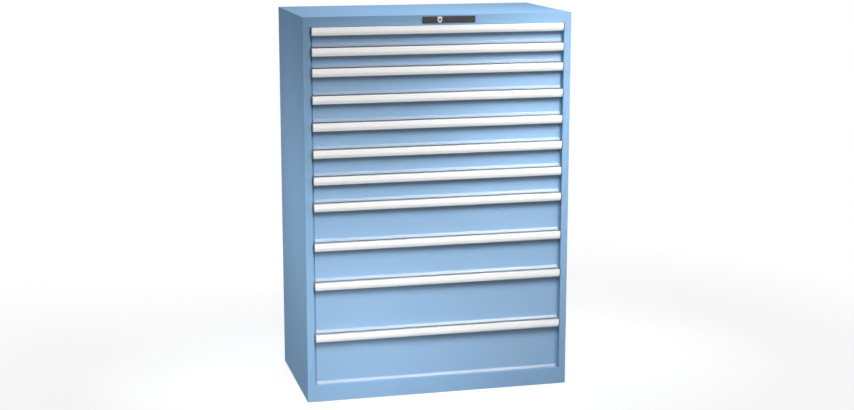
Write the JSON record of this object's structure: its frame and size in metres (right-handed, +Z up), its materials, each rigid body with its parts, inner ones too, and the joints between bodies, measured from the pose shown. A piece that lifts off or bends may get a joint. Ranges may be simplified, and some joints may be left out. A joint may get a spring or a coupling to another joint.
{
  "type": "drawer cabinet",
  "caption": "Tall steel drawer cabinet with full-width grips, telescopic roller slides, a flush plinth and a central lock.",
  "frame": {"origin": "on the floor, midway across the width and midway through the depth over the grips", "axes": "+Z up, the drawer fronts face -Y, +X to the right of someone facing the fronts"},
  "size_m": [1.023, 0.572, 1.45],
  "materials": {
    "blue_paint": "fine-textured light blue powder coat",
    "grip_aluminium": "pale satin coat, end caps to match",
    "zinc_rail": "bright zinc plated",
    "bezel_plastic": "fine matt",
    "lock_zinc": "satin nickel plated"
  },
  "bodies": {
    "cabinet": {"left_side_panel": "blue_paint", "right_side_panel": "blue_paint", "back_panel": "blue_paint", "top_panel": "blue_paint", "base_panel": "blue_paint", "front_header": "blue_paint", "front_plinth": "blue_paint", "left_posts": "blue_paint", "right_posts": "blue_paint", "left_cabinet_rails": "zinc_rail", "right_cabinet_rails": "zinc_rail", "lock_bezel": "bezel_plastic", "lock_housing": "lock_zinc", "lock_rod_guides": "zinc_rail", "locking_bar_guides": "zinc_rail"},
    "drawer_01": {"drawer_01_tray": "blue_paint", "drawer_01_grip": "grip_aluminium"},
    "slide_01": {"slide_01_carriages": "zinc_rail"},
    "drawer_02": {"drawer_02_tray": "blue_paint", "drawer_02_grip": "grip_aluminium"},
    "slide_02": {"slide_02_carriages": "zinc_rail"},
    "drawer_03": {"drawer_03_tray": "blue_paint", "drawer_03_grip": "grip_aluminium"},
    "slide_03": {"slide_03_carriages": "zinc_rail"},
    "drawer_04": {"drawer_04_tray": "blue_paint", "drawer_04_grip": "grip_aluminium"},
    "slide_04": {"slide_04_carriages": "zinc_rail"},
    "drawer_05": {"drawer_05_tray": "blue_paint", "drawer_05_grip": "grip_aluminium"},
    "slide_05": {"slide_05_carriages": "zinc_rail"},
    "drawer_06": {"drawer_06_tray": "blue_paint", "drawer_06_grip": "grip_aluminium"},
    "slide_06": {"slide_06_carriages": "zinc_rail"},
    "drawer_07": {"drawer_07_tray": "blue_paint", "drawer_07_grip": "grip_aluminium"},
    "slide_07": {"slide_07_carriages": "zinc_rail"},
    "drawer_08": {"drawer_08_tray": "blue_paint", "drawer_08_grip": "grip_aluminium"},
    "slide_08": {"slide_08_carriages": "zinc_rail"},
    "drawer_09": {"drawer_09_tray": "blue_paint", "drawer_09_grip": "grip_aluminium"},
    "slide_09": {"slide_09_carriages": "zinc_rail"},
    "drawer_10": {"drawer_10_tray": "blue_paint", "drawer_10_grip": "grip_aluminium"},
    "slide_10": {"slide_10_carriages": "zinc_rail"},
    "drawer_11": {"drawer_11_tray": "blue_paint", "drawer_11_grip": "grip_aluminium"},
    "slide_11": {"slide_11_carriages": "zinc_rail"},
    "lock_cylinder": {"lock_plug": "lock_zinc", "lock_cam": "zinc_rail"},
    "lock_rod": {"lock_rod": "zinc_rail"},
    "locking_bar": {"locking_bar": "zinc_rail"}
  },
  "joints": [
    {"name": "drawer_01_pull", "type": "slide", "parent": "cabinet", "child": "drawer_01", "axis": [0, -1, 0], "range_m": [0, 0.46]},
    {"name": "slide_01_follow", "type": "slide", "parent": "cabinet", "child": "slide_01", "axis": [0, -1, 0], "range_m": [0, 0.2302]},
    {"name": "drawer_02_pull", "type": "slide", "parent": "cabinet", "child": "drawer_02", "axis": [0, -1, 0], "range_m": [0, 0.46]},
    {"name": "slide_02_follow", "type": "slide", "parent": "cabinet", "child": "slide_02", "axis": [0, -1, 0], "range_m": [0, 0.2302]},
    {"name": "drawer_03_pull", "type": "slide", "parent": "cabinet", "child": "drawer_03", "axis": [0, -1, 0], "range_m": [0, 0.46]},
    {"name": "slide_03_follow", "type": "slide", "parent": "cabinet", "child": "slide_03", "axis": [0, -1, 0], "range_m": [0, 0.2302]},
    {"name": "drawer_04_pull", "type": "slide", "parent": "cabinet", "child": "drawer_04", "axis": [0, -1, 0], "range_m": [0, 0.46]},
    {"name": "slide_04_follow", "type": "slide", "parent": "cabinet", "child": "slide_04", "axis": [0, -1, 0], "range_m": [0, 0.2302]},
    {"name": "drawer_05_pull", "type": "slide", "parent": "cabinet", "child": "drawer_05", "axis": [0, -1, 0], "range_m": [0, 0.46]},
    {"name": "slide_05_follow", "type": "slide", "parent": "cabinet", "child": "slide_05", "axis": [0, -1, 0], "range_m": [0, 0.2302]},
    {"name": "drawer_06_pull", "type": "slide", "parent": "cabinet", "child": "drawer_06", "axis": [0, -1, 0], "range_m": [0, 0.46]},
    {"name": "slide_06_follow", "type": "slide", "parent": "cabinet", "child": "slide_06", "axis": [0, -1, 0], "range_m": [0, 0.2302]},
    {"name": "drawer_07_pull", "type": "slide", "parent": "cabinet", "child": "drawer_07", "axis": [0, -1, 0], "range_m": [0, 0.46]},
    {"name": "slide_07_follow", "type": "slide", "parent": "cabinet", "child": "slide_07", "axis": [0, -1, 0], "range_m": [0, 0.2302]},
    {"name": "drawer_08_pull", "type": "slide", "parent": "cabinet", "child": "drawer_08", "axis": [0, -1, 0], "range_m": [0, 0.46]},
    {"name": "slide_08_follow", "type": "slide", "parent": "cabinet", "child": "slide_08", "axis": [0, -1, 0], "range_m": [0, 0.2302]},
    {"name": "drawer_09_pull", "type": "slide", "parent": "cabinet", "child": "drawer_09", "axis": [0, -1, 0], "range_m": [0, 0.46]},
    {"name": "slide_09_follow", "type": "slide", "parent": "cabinet", "child": "slide_09", "axis": [0, -1, 0], "range_m": [0, 0.2302]},
    {"name": "drawer_10_pull", "type": "slide", "parent": "cabinet", "child": "drawer_10", "axis": [0, -1, 0], "range_m": [0, 0.46]},
    {"name": "slide_10_follow", "type": "slide", "parent": "cabinet", "child": "slide_10", "axis": [0, -1, 0], "range_m": [0, 0.2302]},
    {"name": "drawer_11_pull", "type": "slide", "parent": "cabinet", "child": "drawer_11", "axis": [0, -1, 0], "range_m": [0, 0.46]},
    {"name": "slide_11_follow", "type": "slide", "parent": "cabinet", "child": "slide_11", "axis": [0, -1, 0], "range_m": [0, 0.2302]},
    {"name": "locking_bar_lift", "type": "slide", "parent": "cabinet", "child": "locking_bar", "axis": [0, 0, 1], "range_m": [0, 0.00848]},
    {"name": "lock_rod_slide", "type": "slide", "parent": "cabinet", "child": "lock_rod", "axis": [1, 0, 0], "range_m": [0, 0.00859]},
    {"name": "lock_turn", "type": "hinge", "parent": "cabinet", "child": "lock_cylinder", "pos_m": [0, -0.276, 1.4325], "axis": [0, 1, 0], "range_deg": [0, 90]}
  ],
  "couplings": [
    {"joint": "slide_01_follow", "follows": "drawer_01_pull", "ratio": 0.5},
    {"joint": "slide_02_follow", "follows": "drawer_02_pull", "ratio": 0.5},
    {"joint": "slide_03_follow", "follows": "drawer_03_pull", "ratio": 0.5},
    {"joint": "slide_04_follow", "follows": "drawer_04_pull", "ratio": 0.5},
    {"joint": "slide_05_follow", "follows": "drawer_05_pull", "ratio": 0.5},
    {"joint": "slide_06_follow", "follows": "drawer_06_pull", "ratio": 0.5},
    {"joint": "slide_07_follow", "follows": "drawer_07_pull", "ratio": 0.5},
    {"joint": "slide_08_follow", "follows": "drawer_08_pull", "ratio": 0.5},
    {"joint": "slide_09_follow", "follows": "drawer_09_pull", "ratio": 0.5},
    {"joint": "slide_10_follow", "follows": "drawer_10_pull", "ratio": 0.5},
    {"joint": "slide_11_follow", "follows": "drawer_11_pull", "ratio": 0.5},
    {"joint": "lock_rod_slide", "follows": "locking_bar_lift", "ratio": 1},
    {"joint": "lock_turn", "follows": "locking_bar_lift", "rad_per_m": 185.12}
  ]
}
